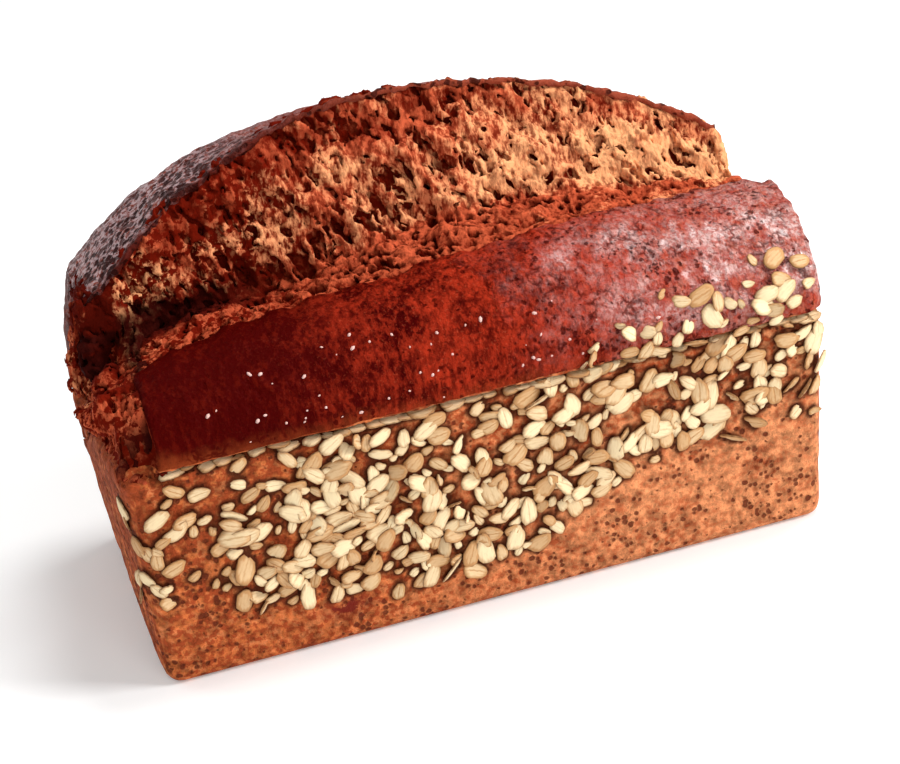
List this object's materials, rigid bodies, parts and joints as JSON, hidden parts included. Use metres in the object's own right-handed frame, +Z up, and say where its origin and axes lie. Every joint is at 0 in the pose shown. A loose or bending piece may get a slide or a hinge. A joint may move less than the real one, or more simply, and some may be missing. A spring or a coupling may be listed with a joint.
{
  "type": "oat tin loaf",
  "caption": "Tin-baked loaf with a flat base and straight walls, a low front crust, and a back half lifted as a torn lid with open crumb. Oat flakes stick to both long walls.",
  "frame": {"origin": "middle of the flat base, under the middle of the bounding box", "axes": "+X along the loaf, to the right seen from its front; -Y towards the front, where the top has torn open; +Z up"},
  "size_m": [0.2468, 0.1188, 0.164],
  "materials": {
    "crust": "baked brown crust, matt below the rim and slightly glossy above it"
  },
  "bodies": {
    "root": {"loaf": "crust"}
  },
  "joints": []
}
